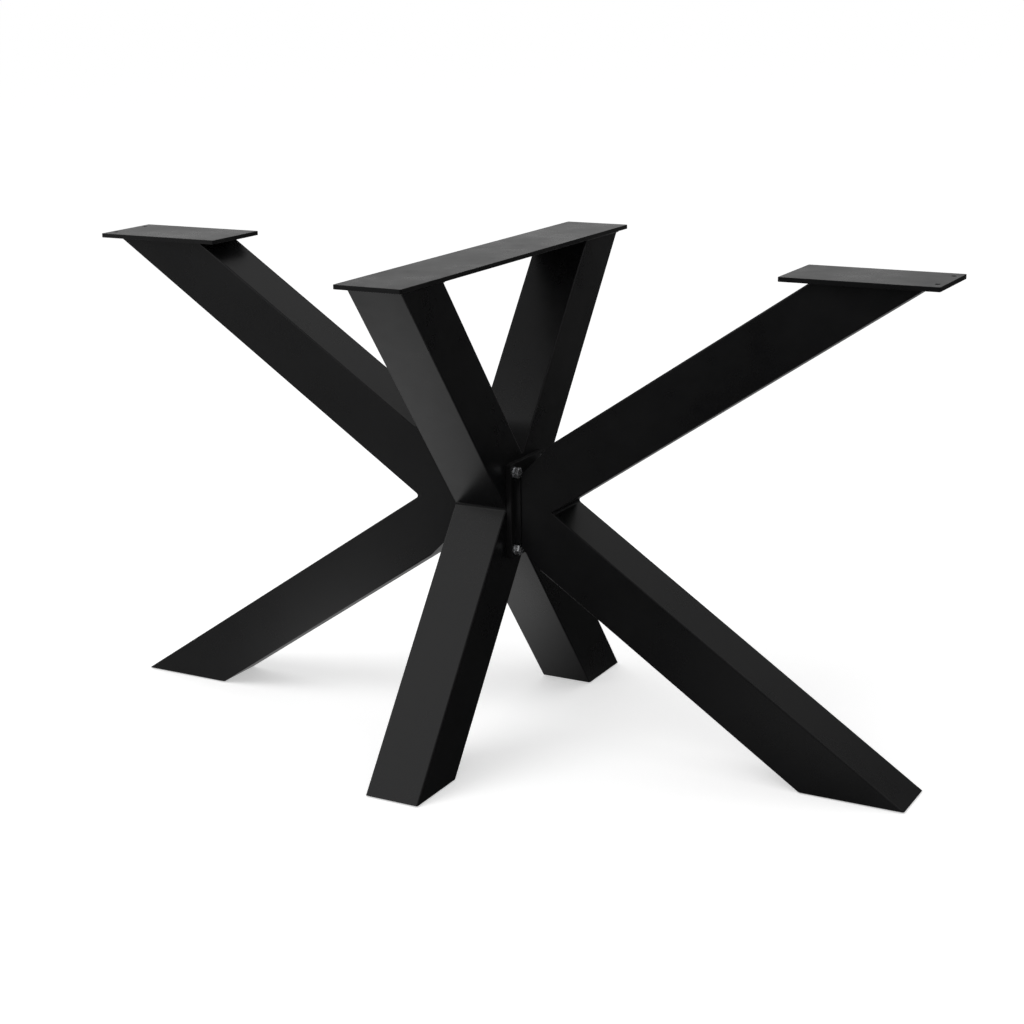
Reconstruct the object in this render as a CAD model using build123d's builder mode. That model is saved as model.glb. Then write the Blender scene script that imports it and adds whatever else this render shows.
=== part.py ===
from build123d import *
import os
from math import atan2, degrees, radians, sin, cos, tan

# A steel table frame: a crossed trestle in the YZ plane, with a bolted bracket on each side of it.
# Millimetres. +X runs along the table, -Y is the near side, +Z is up, and the floor is z = 0.

# Driving dimensions of the whole frame
frame_height = 682.0
glide_height = 2.0
plate_thickness = 6.0

# Square tube that every leg is cut from
tube_side = 80.0
tube_wall = 3.0
tube_corner = 2.0
tube_bore_corner = 0.5

# Where each leg's centre line stands at its two ends, and where a bracket's two lines meet
trestle_reach = 252.5
bracket_reach = 536.0
bracket_start = 33.0

# Top plates, which carry the table top
trestle_plate_width = 98.0
trestle_plate_length = 635.0
bracket_plate_width = 110.0
bracket_plate_inner_margin = 37.5
bracket_plate_outer_margin = 22.0
plate_corner = 2.0
plate_edge_round = 0.5
plate_hole = 7.0
plate_hole_inset = 10.0
plate_hole_spacing = 67.0

# Joint between a bracket and the trestle, a little below the height where the bracket's tubes meet
joint_drop = 3.2
flange_thickness = 8.0
flange_width = 100.0
flange_margin = 12.0
flange_corner = 3.0
end_plate_lap = 2.0
trim_angle = 44.6
trim_depth = 13.0
trim_cover_thickness = 5.0
trim_cover_lap = 1.5

# Screws, washers and nuts of that joint
screw_spacing_y = 80.0
screw_diameter = 8.0
screw_length = 25.0
screw_head_width = 13.0
screw_head_height = 5.3
screw_head_chamfer = 0.5
screw_head_dish = 7.0
screw_head_dish_depth = 0.8
screw_head_gap = 1.1
screw_hole = 9.0
washer_bore = 8.4
washer_gap = 0.5
flat_washer_diameter = 15.0
flat_washer_thickness = 1.6
spring_washer_diameter = 12.8
spring_washer_thickness = 2.0
spring_washer_slit = 1.6
nut_width = 13.0
nut_height = 6.5
thread_gap = 0.1

# Feet
foot_plate_thickness = 4.0
glide_diameter = 40.0
glide_round = 0.8

# Values that follow from the sizes above
plate_underside = frame_height - plate_thickness
mid_height = (plate_underside + glide_height) / 2
leg_rise = (plate_underside - glide_height) / 2
tube_half = tube_side / 2
tube_bore = tube_side - 2 * tube_wall
trestle_lean = atan2(trestle_reach, leg_rise)
bracket_lean = atan2(bracket_reach - bracket_start, leg_rise)
bracket_half_span = tube_half / cos(bracket_lean)
longest_leg = 2 * (frame_height + bracket_reach + trestle_reach)
flange_face = tube_half + flange_thickness
washer_stack = flat_washer_thickness + spring_washer_thickness
nut_seat = tube_half - tube_wall

# The end plate holds the tubes clear of the screw heads, and the joint spreads as far as their outer corners
end_plate_thickness = washer_stack + screw_head_height + screw_head_gap
end_plate_face = flange_face + end_plate_thickness
joint_height = mid_height - joint_drop
corner_rise = (end_plate_face - bracket_start) / tan(bracket_lean) + tube_half / sin(bracket_lean)
trim_rise = corner_rise - trim_depth
cover_rise = trim_rise - trim_cover_thickness / cos(radians(trim_angle))
end_plate_height = 2 * (cover_rise + trim_cover_lap)
screw_spacing_z = end_plate_height + flat_washer_diameter + 2 * washer_gap
flange_height = screw_spacing_z + 2 * flange_margin
screw_points = [
    (screw_spacing_y / 2 * y, joint_height + screw_spacing_z / 2 * z) for y in (-1, 1) for z in (-1, 1)
]

# Horizontal planes that end the legs
top_plane = Plane.XY.offset(plate_underside)
mid_plane = Plane.XY.offset(mid_height)
foot_plane = Plane.XY.offset(glide_height)
foot_plate_plane = Plane.XY.offset(glide_height + foot_plate_thickness)


def trestle_axis(far, up):
    """Plane across a trestle leg at the crossing; far and up are +1 or -1."""
    return Plane(
        origin=(0, 0, mid_height),
        x_dir=(1, 0, 0),
        z_dir=(0, far * sin(trestle_lean), up * cos(trestle_lean)),
    )


def bracket_axis(side, up):
    """Plane across a bracket leg where the two centre lines meet; side is +1 on the right."""
    return Plane(
        origin=(side * bracket_start, 0, mid_height),
        x_dir=(0, 1, 0),
        z_dir=(side * sin(bracket_lean), 0, up * cos(bracket_lean)),
    )


def leg_piece(axis_plane, cuts, hollow=True, both=False):
    """A length of the square section along an axis, cut by planes, each with the side to keep."""
    with BuildPart() as piece:
        with BuildSketch(axis_plane):
            RectangleRounded(tube_side, tube_side, tube_corner)
            if hollow:
                RectangleRounded(tube_bore, tube_bore, tube_bore_corner, mode=Mode.SUBTRACT)
        extrude(amount=longest_leg, both=both)
        for plane, keep in cuts:
            split(bisect_by=plane, keep=keep)
    return piece


def drill_for_screws(leg):
    """The flange screws' holes, right through both side walls, where they fall on this leg."""
    with BuildPart() as drilled:
        add(leg.part)
        with BuildSketch(Plane.YZ):
            with Locations(*screw_points):
                Circle(screw_hole / 2)
        extrude(amount=tube_side, both=True, mode=Mode.SUBTRACT)
    return drilled


def flat_plate(plane, width, length, thickness, corner, holes=(), hole_diameter=0.0):
    """A plate on a plane at its middle, with rounded corners, eased edges and any holes."""
    with BuildPart() as plate:
        with BuildSketch(plane):
            RectangleRounded(width, length, corner)
        extrude(amount=thickness)
        layers = plate.edges().group_by(Axis(plane.origin, plane.z_dir))
        fillet(layers[0] + layers[-1], plate_edge_round)
        if holes:
            with BuildSketch(plane):
                with Locations(*holes):
                    Circle(hole_diameter / 2)
            extrude(amount=thickness, mode=Mode.SUBTRACT)
    return plate


def glide(x, y):
    """A round plastic glide under the middle of a foot."""
    with BuildPart() as disc:
        with BuildSketch(Plane.XY):
            with Locations((x, y)):
                Circle(glide_diameter / 2)
        extrude(amount=glide_height)
        fillet(disc.edges().group_by(Axis.Z)[0], glide_round)
    return disc


def write(name, piece):
    """Labels a finished piece and writes its STEP file."""
    piece.part.label = name
    export_step(piece.part, f"parts/{name}.step")


os.makedirs("parts", exist_ok=True)

# Trestle: one tube runs through the crossing, and two shorter ones are welded to its sides
through_tube = drill_for_screws(leg_piece(
    trestle_axis(far=1, up=1),
    [(top_plane, Keep.BOTTOM), (foot_plate_plane, Keep.TOP)],
    both=True,
))
write("trestle_through_tube", through_tube)

through_normal = Vector(0, cos(trestle_lean), -sin(trestle_lean))
crossing = Vector(0, 0, mid_height)
near_side_plane = Plane(origin=crossing - through_normal * tube_half, z_dir=-through_normal)
far_side_plane = Plane(origin=crossing + through_normal * tube_half, z_dir=through_normal)

upper_half_tube = drill_for_screws(leg_piece(
    trestle_axis(far=-1, up=1),
    [(top_plane, Keep.BOTTOM), (near_side_plane, Keep.TOP)],
))
write("trestle_upper_half_tube", upper_half_tube)

lower_half_tube = drill_for_screws(leg_piece(
    trestle_axis(far=1, up=-1),
    [(foot_plate_plane, Keep.TOP), (far_side_plane, Keep.TOP)],
))
write("trestle_lower_half_tube", lower_half_tube)

trestle_plate = flat_plate(
    top_plane, trestle_plate_width, trestle_plate_length, plate_thickness, plate_corner
)
write("trestle_top_plate", trestle_plate)

for name, far in (("near", -1), ("far", 1)):
    foot_plate = leg_piece(
        trestle_axis(far=far, up=-1),
        [(foot_plate_plane, Keep.BOTTOM), (foot_plane, Keep.TOP)],
        hollow=False,
    )
    write(f"{name}_foot_plate", foot_plate)
    write(f"{name}_glide", glide(0, far * trestle_reach))

# Brackets: two mitred tubes on an end plate and a flange, the same on both sides
for name, side in (("right", 1), ("left", -1)):
    flange_plane = Plane(origin=(side * tube_half, 0, joint_height), x_dir=(0, 1, 0), z_dir=(side, 0, 0))
    seat_plane = flange_plane.offset(flange_thickness)
    screw_plane = seat_plane.offset(washer_stack)
    end_plane = Plane(origin=(side * end_plate_face, 0, 0), z_dir=(side, 0, 0))
    screw_places = [(y, (z - joint_height) * side) for y, z in screw_points]

    flange = flat_plate(
        flange_plane, flange_width, flange_height, flange_thickness, flange_corner, screw_places, screw_hole
    )
    write(f"{name}_flange", flange)

    with BuildPart() as end_plate:
        with BuildSketch(seat_plane):
            Rectangle(tube_side + 2 * end_plate_lap, end_plate_height)
        extrude(amount=end_plate_thickness)
    write(f"{name}_end_plate", end_plate)

    for level, up in (("upper", 1), ("lower", -1)):
        # The corner towards the trestle is trimmed, to leave room for the screws, and closed by a cover
        trim_outward = Vector(-side * sin(radians(trim_angle)), 0, up * cos(radians(trim_angle)))
        trim_point = Vector(side * end_plate_face, 0, joint_height + up * trim_rise)
        trim_plane = Plane(origin=trim_point, z_dir=trim_outward)
        cover_plane = Plane(origin=trim_point - trim_outward * trim_cover_thickness, z_dir=trim_outward)
        mitre_keep = Keep.TOP if up > 0 else Keep.BOTTOM
        far_end = (top_plane, Keep.BOTTOM) if up > 0 else (foot_plate_plane, Keep.TOP)

        leg = leg_piece(
            bracket_axis(side, up).offset(-longest_leg / 2),
            [(mid_plane, mitre_keep), (end_plane, Keep.TOP), (cover_plane, Keep.BOTTOM), far_end],
        )
        write(f"{name}_{level}_tube", leg)

        cover = leg_piece(
            bracket_axis(side, up).offset(-longest_leg / 2),
            [(mid_plane, mitre_keep), (end_plane, Keep.TOP), (cover_plane, Keep.TOP), (trim_plane, Keep.BOTTOM)],
            hollow=False,
        )
        write(f"{name}_{level}_cover", cover)

    plate_inner = bracket_reach - bracket_half_span - bracket_plate_inner_margin
    plate_outer = bracket_reach + bracket_half_span + bracket_plate_outer_margin
    bracket_plate_length = plate_outer - plate_inner
    hole_x = side * (bracket_plate_length / 2 - plate_hole_inset)
    bracket_plate = flat_plate(
        Plane(origin=(side * (plate_inner + plate_outer) / 2, 0, plate_underside)),
        bracket_plate_length,
        bracket_plate_width,
        plate_thickness,
        plate_corner,
        [(hole_x, -plate_hole_spacing / 2), (hole_x, plate_hole_spacing / 2)],
        plate_hole,
    )
    write(f"{name}_top_plate", bracket_plate)

    foot_plate = leg_piece(
        bracket_axis(side, -1),
        [(foot_plate_plane, Keep.BOTTOM), (foot_plane, Keep.TOP)],
        hollow=False,
    )
    write(f"{name}_foot_plate", foot_plate)
    write(f"{name}_glide", glide(side * bracket_reach, 0))

    # Fasteners: each node is a group of like solids, one at each corner of the flange
    with BuildPart() as screws:
        with BuildSketch(screw_plane):
            with Locations(*screw_places):
                RegularPolygon(screw_head_width / 2, 6, major_radius=False)
        extrude(amount=screw_head_height)
        chamfer(screws.edges().group_by(Axis((0, 0, 0), (side, 0, 0)))[-1], screw_head_chamfer)
        with BuildSketch(screw_plane.offset(screw_head_height)):
            with Locations(*screw_places):
                Circle(screw_head_dish / 2)
        extrude(amount=-screw_head_dish_depth, mode=Mode.SUBTRACT)
        with BuildSketch(screw_plane):
            with Locations(*screw_places):
                Circle(screw_diameter / 2)
        extrude(amount=-screw_length)
    write(f"{name}_flange_screws", screws)

    with BuildPart() as flat_washers:
        with BuildSketch(seat_plane):
            with Locations(*screw_places):
                Circle(flat_washer_diameter / 2)
                Circle(washer_bore / 2, mode=Mode.SUBTRACT)
        extrude(amount=flat_washer_thickness)
    write(f"{name}_flat_washers", flat_washers)

    with BuildPart() as spring_washers:
        with BuildSketch(seat_plane.offset(flat_washer_thickness)):
            with Locations(*screw_places):
                Circle(spring_washer_diameter / 2)
                Circle(washer_bore / 2, mode=Mode.SUBTRACT)
                Rectangle(
                    spring_washer_diameter, spring_washer_slit, align=(Align.MIN, Align.CENTER), mode=Mode.SUBTRACT
                )
        extrude(amount=spring_washer_thickness)
    write(f"{name}_spring_washers", spring_washers)

    with BuildPart() as nuts:
        with BuildSketch(flange_plane.offset(nut_seat - tube_half)):
            with Locations(*screw_places):
                RegularPolygon(nut_width / 2, 6, major_radius=False)
                Circle(screw_diameter / 2 + thread_gap, mode=Mode.SUBTRACT)
        extrude(amount=-nut_height)
    write(f"{name}_weld_nuts", nuts)

print("trestle leg angle", round(degrees(trestle_lean), 2))
print("bracket leg angle", round(degrees(bracket_lean), 2))
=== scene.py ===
"""A crossed steel table frame: satin black powder coat, weld beads, hexagon screws and a white studio.

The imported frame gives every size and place. Lengths are in metres, +X runs along the table, +Z is up.
"""

import math

import bmesh
import bpy
import numpy as np
from bpy.props import FloatProperty, FloatVectorProperty, PointerProperty
from bpy.types import Operator, Panel, PropertyGroup
from mathutils import Matrix, Vector


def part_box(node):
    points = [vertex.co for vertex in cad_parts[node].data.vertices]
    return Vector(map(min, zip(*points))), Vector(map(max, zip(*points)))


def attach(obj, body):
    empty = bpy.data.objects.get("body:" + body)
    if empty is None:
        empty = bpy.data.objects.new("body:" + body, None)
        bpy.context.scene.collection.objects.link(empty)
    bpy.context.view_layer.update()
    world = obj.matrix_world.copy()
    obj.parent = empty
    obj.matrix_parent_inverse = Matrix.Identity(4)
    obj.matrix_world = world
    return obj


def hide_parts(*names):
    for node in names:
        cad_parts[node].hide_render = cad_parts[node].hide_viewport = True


bl_info = {
    "name": "Crossed Table Frame",
    "version": (1, 0, 0),
    "blender": (4, 5, 0),
    "location": "View3D > Sidebar > Table Frame",
    "description": "Finishes a crossed steel table frame and sets it in a white studio",
    "category": "Object",
}

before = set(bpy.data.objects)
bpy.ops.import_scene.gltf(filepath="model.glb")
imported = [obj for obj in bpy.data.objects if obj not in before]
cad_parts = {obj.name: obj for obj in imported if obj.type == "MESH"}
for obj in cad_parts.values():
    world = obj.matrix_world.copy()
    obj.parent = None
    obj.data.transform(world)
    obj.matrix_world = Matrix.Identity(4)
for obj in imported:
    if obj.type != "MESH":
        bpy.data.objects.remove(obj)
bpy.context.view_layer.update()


def middle(node):
    """Centre of a node's box."""
    low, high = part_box(node)
    return (low + high) / 2


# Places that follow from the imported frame
BODY = "root"
SIDES = (("right", 1), ("left", -1))
PLATE_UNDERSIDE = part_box("trestle_top_plate")[0].z
GLIDE_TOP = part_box("near_glide")[1].z
MID_HEIGHT = (PLATE_UNDERSIDE + GLIDE_TOP) / 2
LEG_RISE = (PLATE_UNDERSIDE - GLIDE_TOP) / 2
TUBE_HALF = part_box("trestle_through_tube")[1].x
TRESTLE_REACH = -middle("near_glide").y
TRESTLE_LEAN = math.atan2(TRESTLE_REACH, LEG_RISE)
BRACKET_REACH = middle("right_glide").x
BRACKET_LEAN = math.acos(TUBE_HALF / (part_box("right_upper_tube")[1].x - BRACKET_REACH))
BRACKET_START = BRACKET_REACH - LEG_RISE * math.tan(BRACKET_LEAN)
SCREW_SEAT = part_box("right_spring_washers")[1].x
SCREW_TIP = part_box("right_flange_screws")[0].x
SCREW_HEAD_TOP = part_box("right_flange_screws")[1].x

COATED = ("tube", "plate", "cover", "flange")
TUBE_CORNER = 0.002

# Fineness of the new meshes
BEAD_STEP = 0.0006
ARC_POINTS = 9
SCREW_POINTS = 96
SHARP_ANGLE = math.radians(50)

# Studio
CARD_RADIUS = 3.0
SENSOR_WIDTH = 36.0


class CoatSettings(PropertyGroup):
    """Finish of the powder coat."""

    deep_color: FloatVectorProperty(
        name="Deep Colour",
        description="Darkest tone of the powder coat",
        subtype="COLOR",
        size=4,
        min=0.0,
        max=1.0,
        default=(0.0034, 0.0034, 0.0037, 1.0),
    )
    pale_color: FloatVectorProperty(
        name="Pale Colour",
        description="Lightest tone of the powder coat",
        subtype="COLOR",
        size=4,
        min=0.0,
        max=1.0,
        default=(0.0055, 0.0055, 0.0059, 1.0),
    )
    smooth_roughness: FloatProperty(
        name="Smooth Roughness",
        description="Roughness where the coat flowed well",
        min=0.0,
        max=1.0,
        default=0.25,
    )
    dull_roughness: FloatProperty(
        name="Dull Roughness",
        description="Roughness where the coat is thin",
        min=0.0,
        max=1.0,
        default=0.33,
    )
    notch_roughness: FloatProperty(
        name="Notch Roughness",
        description="Roughness in the notch above the crossing, where little powder settles",
        min=0.0,
        max=1.0,
        default=0.8,
    )
    notch_reach: FloatProperty(
        name="Notch Reach",
        description="How far the dull coat runs out of that notch",
        unit="LENGTH",
        min=0.0,
        default=0.07,
    )
    flange_dulling: FloatProperty(
        name="Flange Dulling",
        description="Roughness that the thin coat on the flanges adds",
        min=0.0,
        max=1.0,
        default=0.3,
    )
    drift_size: FloatProperty(
        name="Drift Size",
        description="Width of the slow change in the coat",
        unit="LENGTH",
        min=0.0,
        default=0.11,
    )
    peel_size: FloatProperty(
        name="Peel Size",
        description="Width of the coat's orange peel",
        unit="LENGTH",
        min=0.0,
        default=0.0022,
    )
    peel_height: FloatProperty(
        name="Peel Height",
        description="Depth of the orange peel",
        unit="LENGTH",
        min=0.0,
        default=0.00002,
    )


class WeldSettings(PropertyGroup):
    """Shape of the weld beads."""

    plate_leg: FloatProperty(
        name="Plate Bead",
        description="Leg of the beads under the top plates",
        unit="LENGTH",
        min=0.0,
        default=0.0042,
    )
    crossing_leg: FloatProperty(
        name="Crossing Fillet",
        description="Leg of the ground fillets in the trestle",
        unit="LENGTH",
        min=0.0,
        default=0.003,
    )
    mitre_leg: FloatProperty(
        name="Mitre Fillet",
        description="Leg of the ground fillets in the brackets",
        unit="LENGTH",
        min=0.0,
        default=0.005,
    )
    ripple_pitch: FloatProperty(
        name="Ripple Pitch",
        description="Distance between weld ripples",
        unit="LENGTH",
        min=0.0,
        default=0.0036,
    )
    ripple_depth: FloatProperty(
        name="Ripple Depth",
        description="Swell of the bead at a ripple",
        min=0.0,
        max=1.0,
        default=0.07,
    )


class ScrewSettings(PropertyGroup):
    """Shape of the flange screws."""

    head_width: FloatProperty(
        name="Head Width",
        description="Width of the hexagon across its flats",
        unit="LENGTH",
        min=0.0,
        default=0.013,
    )
    shank_diameter: FloatProperty(
        name="Shank Diameter",
        description="Outer diameter of the thread",
        unit="LENGTH",
        min=0.0,
        default=0.00797,
    )
    thread_pitch: FloatProperty(
        name="Thread Pitch",
        description="Rise of the thread in one turn",
        unit="LENGTH",
        min=0.0,
        default=0.00125,
    )
    dish_width: FloatProperty(
        name="Dish Width",
        description="Width of the hollow in the head",
        unit="LENGTH",
        min=0.0,
        default=0.007,
    )
    dish_depth: FloatProperty(
        name="Dish Depth",
        description="Depth of the hollow in the head",
        unit="LENGTH",
        min=0.0,
        default=0.0008,
    )


class StageSettings(PropertyGroup):
    """Camera and light."""

    azimuth: FloatProperty(
        name="Azimuth",
        description="Camera's turn about the frame",
        subtype="ANGLE",
        default=math.radians(28.94),
    )
    elevation: FloatProperty(
        name="Elevation",
        description="Camera's height angle",
        subtype="ANGLE",
        default=math.radians(15.81),
    )
    roll: FloatProperty(
        name="Roll",
        description="Camera's turn about its own line of sight",
        subtype="ANGLE",
        default=math.radians(-0.985),
    )
    target: FloatVectorProperty(
        name="Target",
        description="Point that the camera looks at",
        subtype="TRANSLATION",
        size=3,
        default=(0.01386, 0.0, 0.31838),
    )
    distance: FloatProperty(
        name="Distance",
        description="From the camera to its target",
        unit="LENGTH",
        min=0.1,
        default=2.72794,
    )
    lens: FloatProperty(
        name="Lens",
        description="Focal length in millimetres",
        min=1.0,
        default=68.856,
    )
    shift: FloatVectorProperty(
        name="Shift",
        description="Camera's shift, in widths of the picture",
        size=2,
        default=(0.00471, 0.00091),
    )
    key_power: FloatProperty(
        name="Key Power",
        description="Power of the soft lamp",
        min=0.0,
        default=70.0,
    )
    key_size: FloatProperty(
        name="Key Size",
        description="Width of the soft lamp",
        unit="LENGTH",
        min=0.0,
        default=3.0,
    )
    key_place: FloatVectorProperty(
        name="Key Place",
        description="Where the soft lamp hangs",
        subtype="TRANSLATION",
        size=3,
        default=(-1.8, -2.6, 3.6),
    )
    ambient: FloatProperty(
        name="Ambient",
        description="Level of the light from all round",
        min=0.0,
        default=0.6,
    )
    floor_lift: FloatProperty(
        name="Floor Lift",
        description="Light that the floor gives off where it is seen",
        min=0.0,
        default=0.46,
    )


def unit(vector):
    """The vector divided by its length, along the last axis."""
    vector = np.asarray(vector, float)
    return vector / np.linalg.norm(vector, axis=-1, keepdims=True)


def grid_faces(rows, columns, wrap_rows=False, wrap_columns=True):
    """Quads between neighbouring points of a grid that is stored row by row."""
    row, column = np.meshgrid(
        np.arange(rows if wrap_rows else rows - 1),
        np.arange(columns if wrap_columns else columns - 1),
        indexing="ij",
    )
    next_row = (row + 1) % rows
    next_column = (column + 1) % columns
    corners = [
        row * columns + column,
        row * columns + next_column,
        next_row * columns + next_column,
        next_row * columns + column,
    ]
    return np.stack(corners, axis=-1).reshape(-1, 4)


def shell(rings, wrap_rows=False):
    """Points and faces of a closed shell: rings of points in order, flat caps on open ends."""
    rows, columns = rings.shape[:2]
    faces = grid_faces(rows, columns, wrap_rows).tolist()
    if not wrap_rows:
        faces.append(list(range(columns)))
        faces.append(list(range(rows * columns - columns, rows * columns)))
    return rings.reshape(-1, 3), faces


def add_piece(name, shells, material):
    """One mesh object from several closed shells, smooth, facing outwards and riding on the frame."""
    starts = np.cumsum([0] + [len(points) for points, _ in shells[:-1]])
    points = np.concatenate([points for points, _ in shells])
    faces = [
        [start + corner for corner in face]
        for start, (_, part) in zip(starts.tolist(), shells)
        for face in part
    ]
    mesh = bpy.data.meshes.new(name)
    mesh.from_pydata(points.tolist(), [], faces)
    work = bmesh.new()
    work.from_mesh(mesh)
    bmesh.ops.recalc_face_normals(work, faces=work.faces)
    work.to_mesh(mesh)
    work.free()
    mesh.polygons.foreach_set("use_smooth", np.ones(len(mesh.polygons), bool))
    mesh.set_sharp_from_angle(angle=SHARP_ANGLE)
    mesh.materials.append(material)
    piece = bpy.data.objects.new(name, mesh)
    bpy.context.scene.collection.objects.link(piece)
    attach(piece, BODY)
    return piece


def rounded_outline(half_width, half_height, radius, step):
    """Points and outward normals along a rounded rectangle, evenly spaced.

    Each side runs straight to the start of its corner, then round a quarter circle of that radius.
    """
    points = []
    normals = []
    for turn in range(4):
        along, across = (half_height, half_width) if turn % 2 == 0 else (half_width, half_height)
        straight = np.arange(-(along - radius), along - radius, step)
        angle = np.linspace(0, math.pi / 2, ARC_POINTS)[:-1]
        side = np.stack([np.full_like(straight, across), straight], axis=-1)
        centre = np.array([across - radius, along - radius])
        arc_normal = np.stack([np.cos(angle), np.sin(angle)], axis=-1)
        quarter = np.concatenate([side, centre + radius * arc_normal])
        normal = np.concatenate([np.tile([1.0, 0.0], (len(side), 1)), arc_normal])
        cosine = math.cos(turn * math.pi / 2)
        sine = math.sin(turn * math.pi / 2)
        spin = np.array([[cosine, sine], [-sine, cosine]])
        points.append(quarter @ spin)
        normals.append(normal @ spin)
    return np.concatenate(points), np.concatenate(normals)


def bead(path, out, down, leg, closed, hollow=False):
    """A weld bead that fills the corner along a path.

    At each point the section runs from leg along one face to leg along the other, on
    point = path + leg * (out * cos(t) ** p + down * sin(t) ** p), with t from 0 to 90 degrees, and
    comes back through a root inside the corner. A low power p makes a full bead and a high one a
    hollow, ground fillet. The leg swells by ripple depth * cos(2 pi * (distance / pitch - bend)),
    where bend = bow * sin(2 t) makes each ripple a crescent. A full bead shrinks round at an open
    end. A ground fillet is smooth and runs almost to its ends.
    """
    weld = bpy.context.scene.weld_settings
    power = 3.2 if hollow else 1.25
    depth = 0.0 if hollow else weld.ripple_depth
    end_length = (0.3 if hollow else 1.5) * leg
    least_taper = 0.02
    root = 0.35
    bow = 0.4
    t = np.linspace(0, math.pi / 2, ARC_POINTS)
    steps = np.linalg.norm(np.diff(path, axis=0, append=path[:1] if closed else path[-1:]), axis=1)
    distance = np.concatenate([[0], np.cumsum(steps)[:-1]])
    turns = distance / weld.ripple_pitch
    if closed:
        all_turns = np.sum(steps) / weld.ripple_pitch
        turns = turns * round(all_turns) / all_turns
        taper = np.ones_like(distance)
    else:
        from_end = np.minimum(distance, distance[-1] - distance) / end_length
        taper = np.sqrt(np.clip(1 - (1 - np.clip(from_end, 0, 1)) ** 2, least_taper, 1))
    ripple = 1 + depth * np.cos(2 * math.pi * (turns[:, None] - bow * np.sin(2 * t)))
    size = (leg * taper[:, None] * ripple)[..., None]
    cosine = np.cos(t)[:, None] ** power
    sine = np.sin(t)[:, None] ** power
    skin = path[:, None] + size * (out[:, None] * cosine + down[:, None] * sine)
    inside = path - root * leg * taper[:, None] * unit(out + down)
    rings = np.concatenate([skin, inside[:, None]], axis=1)
    return shell(rings, wrap_rows=closed)


def plate_bead(axis, side_direction, foot, leg):
    """Bead round a leg where it meets the underside of a top plate.

    The path is the tube's rounded square, carried along the leg's axis to the plate's underside. One
    side of the bead lies on the plate, straight out from the path, and the other runs down the leg.
    """
    axis = unit(axis)
    side_direction = unit(side_direction)
    third = np.cross(axis, side_direction)
    outline, normal = rounded_outline(TUBE_HALF, TUBE_HALF, TUBE_CORNER, BEAD_STEP)
    path = np.array(foot) + outline[:, :1] * side_direction + outline[:, 1:] * third
    path = path + (PLATE_UNDERSIDE - path[:, 2:]) / axis[2] * axis
    out = normal[:, :1] * side_direction + normal[:, 1:] * third
    out = unit(out * np.array([1.0, 1.0, 0.0]))
    down = np.tile(-axis, (len(path), 1))
    return bead(path, out, down, leg, closed=True)


def corner_bead(start, end, first, second, leg):
    """Straight ground fillet from start to end in the corner between two directions."""
    length = np.linalg.norm(np.array(end) - np.array(start))
    share = np.linspace(0, 1, int(length / BEAD_STEP))[:, None]
    path = np.array(start) + share * (np.array(end) - np.array(start))
    first = np.tile(unit(first), (len(path), 1))
    second = np.tile(unit(second), (len(path), 1))
    return bead(path, first, second, leg, closed=False, hollow=True)


def new_group(name, inputs, outputs):
    """An empty shader node group with these float or vector inputs and these outputs."""
    group = bpy.data.node_groups.new(name, "ShaderNodeTree")
    for label, kind, value in inputs:
        socket = group.interface.new_socket(label, in_out="INPUT", socket_type=kind)
        if value is not None:
            socket.default_value = value
    for label, kind in outputs:
        group.interface.new_socket(label, in_out="OUTPUT", socket_type=kind)
    return group, group.nodes.new("NodeGroupInput"), group.nodes.new("NodeGroupOutput")


def math_node(tree, operation, first, second):
    """A Math node; first and second are sockets or numbers."""
    node = tree.nodes.new("ShaderNodeMath")
    node.operation = operation
    for socket, value in zip(node.inputs, (first, second)):
        if isinstance(value, (int, float)):
            socket.default_value = value
        else:
            tree.links.new(value, socket)
    return node.outputs["Value"]


def noise_node(tree, vector, scale, detail, roughness=0.5):
    """A Noise Texture; scale is a socket or a number."""
    node = tree.nodes.new("ShaderNodeTexNoise")
    node.inputs["Detail"].default_value = detail
    node.inputs["Roughness"].default_value = roughness
    tree.links.new(vector, node.inputs["Vector"])
    if isinstance(scale, (int, float)):
        node.inputs["Scale"].default_value = scale
    else:
        tree.links.new(scale, node.inputs["Scale"])
    return node.outputs["Fac"]


def drift_group():
    """Slow, cloudy change over a surface: 0.7 of one noise and 0.3 of another, a sixth of its size."""
    name = "surface_drift"
    if name in bpy.data.node_groups:
        return bpy.data.node_groups[name]
    group, enter, leave = new_group(
        name,
        [("Vector", "NodeSocketVector", None), ("Size", "NodeSocketFloat", 0.1)],
        [("Mask", "NodeSocketFloat")],
    )
    scale = math_node(group, "DIVIDE", 1.0, enter.outputs["Size"])
    large = noise_node(group, enter.outputs["Vector"], scale, 2.0)
    small = noise_node(group, enter.outputs["Vector"], math_node(group, "MULTIPLY", scale, 6.0), 3.0)
    large_share = math_node(group, "MULTIPLY", large, 0.7)
    small_share = math_node(group, "MULTIPLY", small, 0.3)
    mixed = math_node(group, "ADD", large_share, small_share)
    spread = group.nodes.new("ShaderNodeMapRange")
    spread.inputs["From Min"].default_value = 0.32
    spread.inputs["From Max"].default_value = 0.68
    group.links.new(mixed, spread.inputs["Value"])
    group.links.new(spread.outputs["Result"], leave.inputs["Mask"])
    return group


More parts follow.
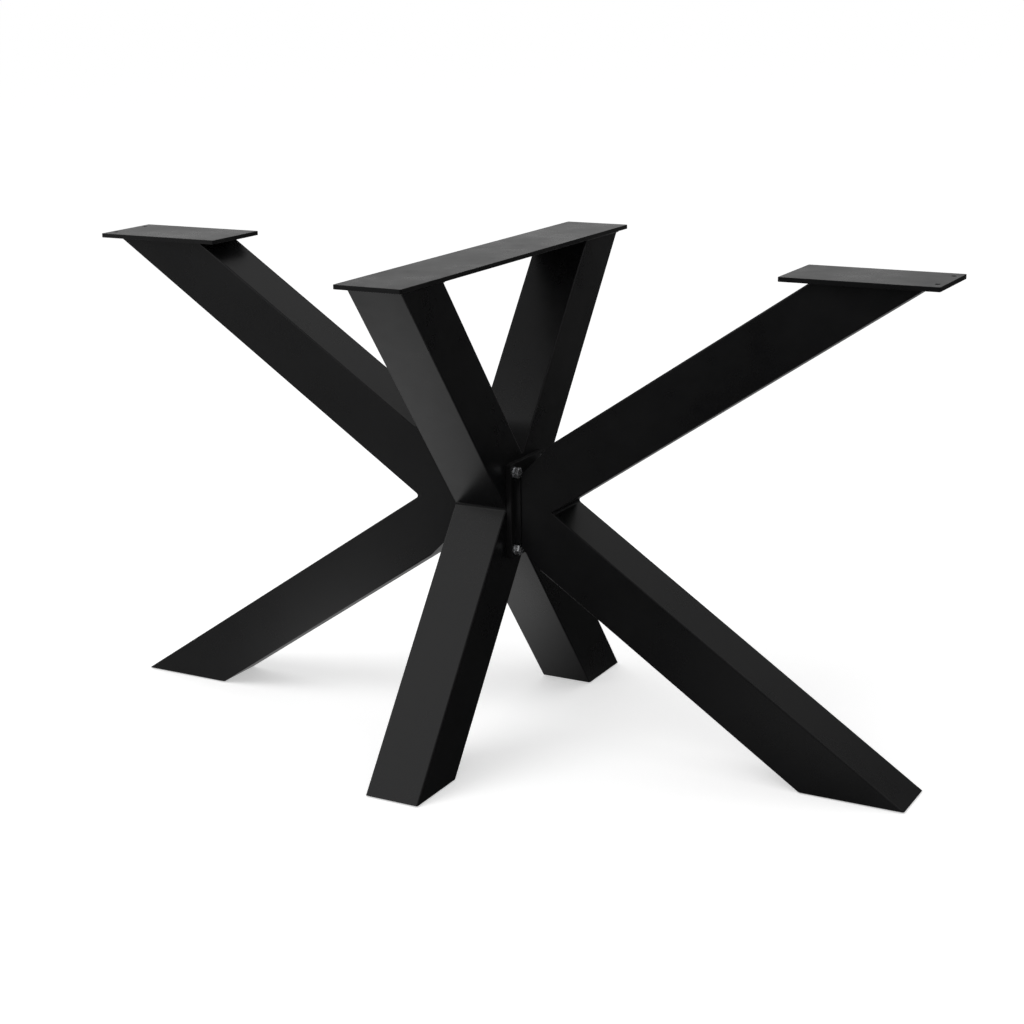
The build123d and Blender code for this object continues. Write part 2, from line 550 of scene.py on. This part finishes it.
def peel_group():
    """Orange peel: soft bumps of one size, with a third as much of a finer grain on top."""
    name = "orange_peel"
    if name in bpy.data.node_groups:
        return bpy.data.node_groups[name]
    group, enter, leave = new_group(
        name,
        [("Vector", "NodeSocketVector", None), ("Size", "NodeSocketFloat", 0.002)],
        [("Height", "NodeSocketFloat")],
    )
    scale = math_node(group, "DIVIDE", 1.0, enter.outputs["Size"])
    swell = noise_node(group, enter.outputs["Vector"], scale, 1.0, 0.4)
    fine_scale = math_node(group, "MULTIPLY", scale, 4.0)
    grain = noise_node(group, enter.outputs["Vector"], fine_scale, 1.0, 0.5)
    height = math_node(group, "ADD", swell, math_node(group, "MULTIPLY", grain, 0.3))
    group.links.new(height, leave.inputs["Height"])
    return group


def notch_group():
    """Where little powder settles: on the inner faces of the notch above the crossing.

    The distance from the notch is sqrt(y ** 2 + (z - notch height) ** 2), and the mask falls smoothly
    from 1 at 0.4 of the size to 0 at the size. It is 0 on the outer sides of the tubes.
    """
    name = "deep_notch"
    if name in bpy.data.node_groups:
        return bpy.data.node_groups[name]
    group, enter, leave = new_group(
        name,
        [("Vector", "NodeSocketVector", None), ("Size", "NodeSocketFloat", 0.04)],
        [("Mask", "NodeSocketFloat")],
    )
    parts = group.nodes.new("ShaderNodeSeparateXYZ")
    group.links.new(enter.outputs["Vector"], parts.inputs["Vector"])
    notch_height = MID_HEIGHT + TUBE_HALF / math.sin(TRESTLE_LEAN)
    above = math_node(group, "SUBTRACT", parts.outputs["Z"], notch_height)
    side_square = math_node(group, "POWER", parts.outputs["Y"], 2.0)
    rise_square = math_node(group, "POWER", above, 2.0)
    square = math_node(group, "ADD", side_square, rise_square)
    fall = group.nodes.new("ShaderNodeMapRange")
    fall.interpolation_type = "SMOOTHSTEP"
    fall.inputs["To Min"].default_value = 1.0
    fall.inputs["To Max"].default_value = 0.0
    group.links.new(math_node(group, "POWER", square, 0.5), fall.inputs["Value"])
    group.links.new(math_node(group, "MULTIPLY", enter.outputs["Size"], 0.4), fall.inputs["From Min"])
    group.links.new(enter.outputs["Size"], fall.inputs["From Max"])
    from_centre = math_node(group, "ABSOLUTE", parts.outputs["X"], 0.0)
    inner = math_node(group, "LESS_THAN", from_centre, TUBE_HALF - TUBE_CORNER / 2)
    group.links.new(math_node(group, "MULTIPLY", fall.outputs["Result"], inner), leave.inputs["Mask"])
    return group


def place_group(tree, group, vector, size):
    """A node group placed in a material, reading the given coordinates at the given size."""
    node = tree.nodes.new("ShaderNodeGroup")
    node.node_tree = group
    node.inputs["Size"].default_value = size
    tree.links.new(vector, node.inputs["Vector"])
    return node


def tone_mix(tree, mask, first, second):
    """Colour between two tones, by a mask."""
    node = tree.nodes.new("ShaderNodeMix")
    node.data_type = "RGBA"
    sockets = {socket.identifier: socket for socket in node.inputs}
    sockets["A_Color"].default_value = first
    sockets["B_Color"].default_value = second
    tree.links.new(mask, sockets["Factor_Float"])
    return {socket.identifier: socket for socket in node.outputs}["Result_Color"]


def value_range(tree, mask, low, high):
    """Value from low to high, by a mask from 0 to 1."""
    node = tree.nodes.new("ShaderNodeMapRange")
    node.inputs["To Min"].default_value = low
    node.inputs["To Max"].default_value = high
    tree.links.new(mask, node.inputs["Value"])
    return node.outputs["Result"]


def bumped(tree, height, distance):
    """Normal from a height, where a height of 1 stands this far out of the surface."""
    node = tree.nodes.new("ShaderNodeBump")
    node.inputs["Strength"].default_value = 1.0
    node.inputs["Distance"].default_value = distance
    tree.links.new(height, node.inputs["Height"])
    return node.outputs["Normal"]


def new_material(name):
    """A new material with its shader and its object coordinates."""
    material = bpy.data.materials.new(name)
    material.use_nodes = True
    tree = material.node_tree
    shader = tree.nodes["Principled BSDF"]
    coordinates = tree.nodes.new("ShaderNodeTexCoord").outputs["Object"]
    return material, tree, shader, coordinates


def powder_coat(name, coarse=1.0, dulling=0.0):
    """Satin black powder coat: near-black tones and a gloss that drift, and orange peel.

    Coarse deepens the peel, and dulling adds roughness for a thin coat.
    """
    coat = bpy.context.scene.coat_settings
    material, tree, shader, coordinates = new_material(name)
    drift = place_group(tree, drift_group(), coordinates, coat.drift_size)
    tone = tone_mix(tree, drift.outputs["Mask"], coat.deep_color, coat.pale_color)
    smooth = coat.smooth_roughness + dulling
    thin = coat.dull_roughness + dulling
    roughness = value_range(tree, drift.outputs["Mask"], smooth, thin)
    notch = place_group(tree, notch_group(), coordinates, coat.notch_reach)
    dull = math_node(tree, "MULTIPLY", notch.outputs["Mask"], coat.notch_roughness)
    peel = place_group(tree, peel_group(), coordinates, coat.peel_size)
    tree.links.new(tone, shader.inputs["Base Color"])
    tree.links.new(math_node(tree, "MAXIMUM", roughness, dull), shader.inputs["Roughness"])
    normal = bumped(tree, peel.outputs["Height"], coat.peel_height * coarse)
    tree.links.new(normal, shader.inputs["Normal"])
    shader.inputs["IOR"].default_value = 1.4
    return material


def zinc_plate():
    """Bright zinc with a milky film: almost pure metal, a mottled tone and a fine grain."""
    material, tree, shader, coordinates = new_material("bright_zinc")
    drift = place_group(tree, drift_group(), coordinates, 0.006)
    milky = (0.62, 0.63, 0.65, 1.0)
    bright = (0.84, 0.85, 0.87, 1.0)
    tone = tone_mix(tree, drift.outputs["Mask"], milky, bright)
    peel = place_group(tree, peel_group(), coordinates, 0.0004)
    tree.links.new(tone, shader.inputs["Base Color"])
    tree.links.new(value_range(tree, drift.outputs["Mask"], 0.2, 0.36), shader.inputs["Roughness"])
    tree.links.new(bumped(tree, peel.outputs["Height"], 0.00001), shader.inputs["Normal"])
    shader.inputs["Metallic"].default_value = 0.95
    return material


def moulded_plastic():
    """Matt black plastic with a fine moulded grain."""
    material, tree, shader, coordinates = new_material("moulded_plastic")
    drift = place_group(tree, drift_group(), coordinates, 0.03)
    deep = (0.012, 0.012, 0.012, 1.0)
    pale = (0.02, 0.02, 0.021, 1.0)
    tone = tone_mix(tree, drift.outputs["Mask"], deep, pale)
    peel = place_group(tree, peel_group(), coordinates, 0.0006)
    tree.links.new(tone, shader.inputs["Base Color"])
    tree.links.new(value_range(tree, drift.outputs["Mask"], 0.5, 0.62), shader.inputs["Roughness"])
    tree.links.new(bumped(tree, peel.outputs["Height"], 0.00003), shader.inputs["Normal"])
    return material


def finish_nodes(endings, material):
    """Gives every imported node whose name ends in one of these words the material."""
    for name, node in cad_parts.items():
        if name.endswith(endings):
            for slot in node.material_slots:
                slot.material = material


class FRAME_OT_coat(Operator):
    """Powder coat on the tubes, plates, covers and flanges"""

    bl_idname = "table_frame.coat"
    bl_label = "Coat Steel"

    def execute(self, context):
        coat = context.scene.coat_settings
        finish_nodes(COATED, powder_coat("satin_powder_coat"))
        finish_nodes(("flange",), powder_coat("thin_powder_coat", dulling=coat.flange_dulling))
        return {"FINISHED"}


class FRAME_OT_trestle_welds(Operator):
    """Weld beads of the trestle: under its top plate and in the four corners of the crossing"""

    bl_idname = "table_frame.trestle_welds"
    bl_label = "Trestle Welds"

    def execute(self, context):
        weld = context.scene.weld_settings
        sine, cosine = math.sin(TRESTLE_LEAN), math.cos(TRESTLE_LEAN)
        crossing = np.array([0.0, 0.0, MID_HEIGHT])
        across = np.array([TUBE_HALF, 0.0, 0.0])
        shells = []
        for far in (-1, 1):
            axis = np.array([0.0, far * sine, cosine])
            shells.append(plate_bead(axis, (1, 0, 0), crossing, weld.plate_leg))
            corner = crossing + np.array([0.0, far * TUBE_HALF / cosine, 0.0])
            below = np.array([0.0, far * sine, -cosine])
            ends = corner - across, corner + across
            shells.append(corner_bead(*ends, axis, below, weld.crossing_leg))
        for up in (-1, 1):
            corner = crossing + np.array([0.0, 0.0, up * TUBE_HALF / sine])
            near_axis = np.array([0.0, -sine, up * cosine])
            far_axis = np.array([0.0, sine, up * cosine])
            ends = corner - across, corner + across
            shells.append(corner_bead(*ends, near_axis, far_axis, weld.crossing_leg))
        add_piece("trestle_welds", shells, powder_coat("coated_trestle_weld", 1.5))
        return {"FINISHED"}


class FRAME_OT_bracket_welds(Operator):
    """Weld beads of the two brackets: under the top plate and in the mitre's corner"""

    bl_idname = "table_frame.bracket_welds"
    bl_label = "Bracket Welds"

    def execute(self, context):
        weld = context.scene.weld_settings
        material = powder_coat("coated_bracket_weld", 1.5)
        sine, cosine = math.sin(BRACKET_LEAN), math.cos(BRACKET_LEAN)
        for name, side in SIDES:
            start = np.array([side * BRACKET_START, 0.0, MID_HEIGHT])
            up_axis = np.array([side * sine, 0.0, cosine])
            down_axis = np.array([side * sine, 0.0, -cosine])
            corner = start + np.array([side * TUBE_HALF / cosine, 0.0, 0.0])
            across = np.array([0.0, TUBE_HALF, 0.0])
            shells = [
                plate_bead(up_axis, (0, 1, 0), start, weld.plate_leg),
                corner_bead(corner - across, corner + across, up_axis, down_axis, weld.mitre_leg),
            ]
            add_piece(f"{name}_bracket_welds", shells, material)
        return {"FINISHED"}


def screw_shell(centre, side):
    """A hexagon head screw as radius over distance along the screw and turn about it.

    Thread: shank radius minus a triangle wave of distance / pitch - turn, and a taper at the tip.
    Head: half width / cos(turn within a sixth), no wider than a crown that opens downwards at 30
    degrees. Dish: depth * (1 - (radius / dish) ** 2).
    """
    screw = bpy.context.scene.screw_settings
    half = screw.head_width / 2
    shank = screw.shank_diameter / 2
    dish = screw.dish_width / 2
    neck_length = 0.0012
    thread_depth = 0.0006
    tip_length = 0.0015
    tip_taper = 0.001
    tip_radius = 0.0005
    face_height = 0.0003
    face_radius = 0.93 * half
    crown_radius = 0.94 * half
    crown_drops = (0.0009, 0.0007, 0.0005, 0.0003, 0.0001, 0.0)
    dish_shares = (1.0, 0.85, 0.65, 0.4, 0.1)
    turn = np.linspace(0, 2 * math.pi, SCREW_POINTS, endpoint=False)
    plain = np.ones_like(turn)
    hexagon = half / np.cos(turn % (math.pi / 3) - math.pi / 6)

    along = np.arange(SCREW_TIP, SCREW_SEAT - neck_length, screw.thread_pitch / 5)
    phase = along[:, None] / screw.thread_pitch - turn / (2 * math.pi)
    wave = np.abs(2 * (phase % 1) - 1)
    taper = np.clip((SCREW_TIP + tip_length - along) / tip_length, 0, 1)[:, None] * tip_taper
    thread = shank - thread_depth * wave - taper

    face_top = SCREW_SEAT + face_height
    crown = [
        (SCREW_HEAD_TOP - drop, np.minimum(hexagon, crown_radius + drop * math.sqrt(3)))
        for drop in crown_drops
    ]
    hollow = [
        (SCREW_HEAD_TOP - screw.dish_depth * (1 - share ** 2), plain * dish * share)
        for share in dish_shares
    ]
    rows = [(SCREW_TIP, plain * tip_radius), *zip(along, thread)]
    rows += [(SCREW_SEAT, plain * shank), (SCREW_SEAT, plain * face_radius)]
    rows += [(face_top, plain * face_radius), (face_top, hexagon * 0.995)]
    rows += [(face_top + face_height, hexagon), *crown, *hollow]
    distance = np.array([row[0] for row in rows])[:, None] * plain
    radius = np.array([row[1] for row in rows])
    x = side * distance
    y = centre[0] + radius * np.cos(turn)
    z = centre[1] + radius * np.sin(turn)
    return shell(np.stack([x, y, z], axis=-1))


class FRAME_OT_fasteners(Operator):
    """Hexagon screws with a thread in place of the plain ones, and zinc on screws, washers and nuts"""

    bl_idname = "table_frame.fasteners"
    bl_label = "Fasteners"

    def execute(self, context):
        material = zinc_plate()
        finish_nodes(("nuts", "washers"), material)
        for name, side in SIDES:
            node = f"{name}_flange_screws"
            low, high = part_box(node)
            flat = context.scene.screw_settings.head_width / 2
            corner = flat / math.cos(math.pi / 6)
            places = [
                (y, z)
                for y in (low.y + corner, high.y - corner)
                for z in (low.z + flat, high.z - flat)
            ]
            shells = [screw_shell(place, side) for place in places]
            piece = add_piece(f"{name}_hexagon_screws", shells, material)
            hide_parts(node)
        return {"FINISHED"}


class FRAME_OT_glides(Operator):
    """Moulded plastic on the glides"""

    bl_idname = "table_frame.glides"
    bl_label = "Glides"

    def execute(self, context):
        finish_nodes(("glide",), moulded_plastic())
        return {"FINISHED"}


def seen_directly(tree):
    """1 for rays from the camera, from a reflection or through glass, and 0 for diffuse light."""
    path = tree.nodes.new("ShaderNodeLightPath")
    seen = math_node(tree, "MAXIMUM", path.outputs["Is Camera Ray"], path.outputs["Is Glossy Ray"])
    return math_node(tree, "MAXIMUM", seen, path.outputs["Is Transmission Ray"])


def studio_floor(lift):
    """White floor that keeps a shadow; a little light of its own lifts it to white where it is seen."""
    reach = 40.0
    corners = [(-reach, -reach, 0.0), (reach, -reach, 0.0), (reach, reach, 0.0), (-reach, reach, 0.0)]
    mesh = bpy.data.meshes.new("studio_floor")
    mesh.from_pydata(corners, [], [(0, 1, 2, 3)])
    material, tree, shader, _ = new_material("white_floor")
    shader.inputs["Base Color"].default_value = (0.9, 0.9, 0.9, 1.0)
    shader.inputs["Roughness"].default_value = 1.0
    shader.inputs["Specular IOR Level"].default_value = 0.0
    shader.inputs["Emission Color"].default_value = (1.0, 1.0, 1.0, 1.0)
    glow = math_node(tree, "MULTIPLY", seen_directly(tree), lift)
    tree.links.new(glow, shader.inputs["Emission Strength"])
    mesh.materials.append(material)
    floor = bpy.data.objects.new("studio_floor", mesh)
    bpy.context.scene.collection.objects.link(floor)


def studio_world(ambient):
    """White all round where it is seen, and an even soft light for everything else."""
    world = bpy.data.worlds.new("white_studio")
    world.use_nodes = True
    tree = world.node_tree
    background = tree.nodes["Background"]
    background.inputs["Color"].default_value = (1.0, 1.0, 1.0, 1.0)
    strength = value_range(tree, seen_directly(tree), ambient, 1.0)
    tree.links.new(strength, background.inputs["Strength"])
    bpy.context.scene.world = world


def card_material(name, grey):
    """A plain glowing card of this grey; its tree and its glow are returned for a pattern."""
    material = bpy.data.materials.new(name)
    material.use_nodes = True
    tree = material.node_tree
    tree.nodes.remove(tree.nodes["Principled BSDF"])
    glow = tree.nodes.new("ShaderNodeEmission")
    glow.inputs["Color"].default_value = (1.0, 1.0, 1.0, 1.0)
    glow.inputs["Strength"].default_value = grey
    tree.links.new(glow.outputs["Emission"], tree.nodes["Material Output"].inputs["Surface"])
    return material, tree, glow


def add_card(name, points, material):
    """A card from a grid of points, which shows only in reflections."""
    mesh = bpy.data.meshes.new(name)
    faces = grid_faces(*points.shape[:2], wrap_columns=False)
    mesh.from_pydata(points.reshape(-1, 3).tolist(), [], faces.tolist())
    mesh.materials.append(material)
    card = bpy.data.objects.new(name, mesh)
    card.visible_camera = False
    card.visible_diffuse = False
    card.visible_transmission = False
    card.visible_shadow = False
    bpy.context.scene.collection.objects.link(card)


def turned(profile, start, end):
    """Grid of points of a profile of radius and height, turned about the vertical.

    point = radius * (sin(turn), cos(turn)), at height, with the turn from start to end in degrees.
    """
    columns = 49
    turn = np.radians(np.linspace(start, end, columns))[:, None]
    radius, height = np.array(profile).T
    points = [radius * np.sin(turn), radius * np.cos(turn), height * np.ones_like(turn)]
    return np.stack(points, axis=-1)


def about(tree, centre, turn, size):
    """Object coordinates about a point on the floor, turned by degrees, in units of a size."""
    node = tree.nodes.new("ShaderNodeMapping")
    node.vector_type = "TEXTURE"
    node.inputs["Location"].default_value = (*centre, 0.0)
    node.inputs["Rotation"].default_value = (0.0, 0.0, math.radians(turn))
    node.inputs["Scale"].default_value = (*size, 1.0)
    tree.links.new(tree.nodes.new("ShaderNodeTexCoord").outputs["Object"], node.inputs["Vector"])
    parts = tree.nodes.new("ShaderNodeSeparateXYZ")
    tree.links.new(node.outputs["Vector"], parts.inputs["Vector"])
    return parts.outputs["X"], parts.outputs["Y"]


def oval_glow(tree, centre, turn, size, strength):
    """Soft oval of light: strength * exp(-(along / length) ** 2 - (across / width) ** 2)."""
    along, across = about(tree, centre, turn, size)
    along_square = math_node(tree, "POWER", along, 2.0)
    across_square = math_node(tree, "POWER", across, 2.0)
    square = math_node(tree, "ADD", along_square, across_square)
    return math_node(tree, "MULTIPLY", math_node(tree, "POWER", math.exp(-1), square), strength)


def floor_card():
    """Painted reflection in place of the white floor: dark in front, grey at the left, soft ovals of
    light.

    grey = dark + left * step + the ovals, where the step rises smoothly from 0 to 1 with the distance
    to the left of a line across the floor.
    """
    material, tree, glow = card_material("floor_card", 0.0)
    # Greys of the painted floor reflection: dark in front, lighter to the left
    dark, left = 0.025, 0.28
    step = tree.nodes.new("ShaderNodeMapRange")
    step.interpolation_type = "SMOOTHSTEP"
    step.inputs["From Min"].default_value = -0.08
    step.inputs["From Max"].default_value = 0.06
    tree.links.new(about(tree, (-0.17, 0.0), 159.4, (1.0, 1.0))[0], step.inputs["Value"])
    grey = math_node(tree, "MULTIPLY_ADD", step.outputs["Result"], left)
    grey.node.inputs[2].default_value = dark
    # Soft ovals of painted light in that reflection
    for centre, turn, size, strength in (
        ((-0.38, -0.26), 60.0, (0.36, 0.11), 0.85),
        ((-0.10, 0.07), 54.0, (0.12, 0.08), 0.6),
        ((0.42, -0.32), 40.0, (0.4, 0.15), 0.36),
    ):
        grey = math_node(tree, "ADD", grey, oval_glow(tree, centre, turn, size, strength))
    tree.links.new(grey, glow.inputs["Strength"])
    dish = [(0.0, 0.002), (2.8, 0.002), (2.9, 0.9)]
    add_card("floor_card", turned(dish, 0, 360), material)


def back_card():
    """Painted reflection behind the frame, which the upper faces mirror: glowing bands of grey between
    two turns and two heights.
    """
    bands = (
        ("low_left", -75, -2, 0.9, 1.35, 0.66),
        ("low_right", -2, 60, 0.9, 1.35, 0.1),
        ("middle", -75, 60, 1.35, 2.1, 0.22),
        ("high", -75, 60, 2.1, 3.6, 0.31),
    )
    for place, start, end, low, high, grey in bands:
        name = f"back_card_{place}"
        points = turned([(CARD_RADIUS, low), (CARD_RADIUS, high)], start, end)
        add_card(name, points, card_material(name, grey)[0])


def front_card():
    """A glowing grey card in front and above, a painted reflection that the rounded edges mirror."""
    points = turned([(CARD_RADIUS, 0.7), (CARD_RADIUS, 3.0), (0.6, 3.6)], 70, 195)
    add_card("front_card", points, card_material("front_card", 0.3)[0])


def ceiling_card():
    """A glowing grey card above the frame, a painted reflection that the far legs mirror."""
    x, y = np.meshgrid((-1.3, 0.3), (-0.5, 0.5), indexing="ij")
    height = 1.28
    points = np.stack([x, y, np.full_like(x, height)], axis=-1)
    add_card("ceiling_card", points, card_material("ceiling_card", 0.3)[0])


class FRAME_OT_stage(Operator):
    """White studio, soft lamp, grey cards for the reflections and the camera"""

    bl_idname = "table_frame.stage"
    bl_label = "Stage"

    def execute(self, context):
        stage = context.scene.stage_settings
        context.scene.view_settings.view_transform = "Standard"
        studio_world(stage.ambient)
        studio_floor(stage.floor_lift)
        floor_card()
        back_card()
        front_card()
        ceiling_card()

        lamp = bpy.data.lights.new("soft_key", "AREA")
        lamp.energy = stage.key_power
        lamp.size = stage.key_size
        key = bpy.data.objects.new("soft_key", lamp)
        key.location = stage.key_place
        key.rotation_mode = "QUATERNION"
        key.rotation_quaternion = (Vector((0, 0, MID_HEIGHT)) - key.location).to_track_quat("-Z", "Y")
        key.visible_glossy = False
        context.scene.collection.objects.link(key)

        azimuth, elevation, roll = stage.azimuth, stage.elevation, stage.roll
        outward = math.cos(elevation)
        back = Vector((math.sin(azimuth) * outward, -math.cos(azimuth) * outward, math.sin(elevation)))
        level = Vector((math.cos(azimuth), math.sin(azimuth), 0.0))
        rise = back.cross(level)
        right = level * math.cos(roll) + rise * math.sin(roll)
        up = rise * math.cos(roll) - level * math.sin(roll)
        lens = bpy.data.cameras.new("photo_camera")
        lens.sensor_fit = "HORIZONTAL"
        lens.sensor_width = SENSOR_WIDTH
        lens.lens = stage.lens
        lens.shift_x, lens.shift_y = stage.shift
        camera = bpy.data.objects.new("photo_camera", lens)
        place = Matrix.Translation(Vector(stage.target) + back * stage.distance)
        facing = Matrix((right, up, back)).transposed().to_4x4()
        camera.matrix_world = place @ facing
        context.scene.collection.objects.link(camera)
        context.scene.camera = camera
        return {"FINISHED"}


class FRAME_PT_sidebar(Panel):
    """Sidebar panel that lists the steps"""

    bl_idname = "FRAME_PT_sidebar"
    bl_label = "Table Frame"
    bl_space_type = "VIEW_3D"
    bl_region_type = "UI"
    bl_category = "Table Frame"

    def draw(self, context):
        for step in STEPS:
            self.layout.operator(step.bl_idname)


STEPS = (
    FRAME_OT_coat,
    FRAME_OT_trestle_welds,
    FRAME_OT_bracket_welds,
    FRAME_OT_fasteners,
    FRAME_OT_glides,
    FRAME_OT_stage,
)
SETTINGS = (
    ("coat_settings", CoatSettings),
    ("weld_settings", WeldSettings),
    ("screw_settings", ScrewSettings),
    ("stage_settings", StageSettings),
)


def register():
    for name, settings in SETTINGS:
        bpy.utils.register_class(settings)
        setattr(bpy.types.Scene, name, PointerProperty(type=settings))
    for item in (*STEPS, FRAME_PT_sidebar):
        bpy.utils.register_class(item)


def unregister():
    for item in reversed((*STEPS, FRAME_PT_sidebar)):
        bpy.utils.unregister_class(item)
    for name, settings in reversed(SETTINGS):
        delattr(bpy.types.Scene, name)
        bpy.utils.unregister_class(settings)


def main():
    register()
    for step in STEPS:
        group, action = step.bl_idname.split(".")
        getattr(getattr(bpy.ops, group), action)()


if __name__ == "__main__":
    main()
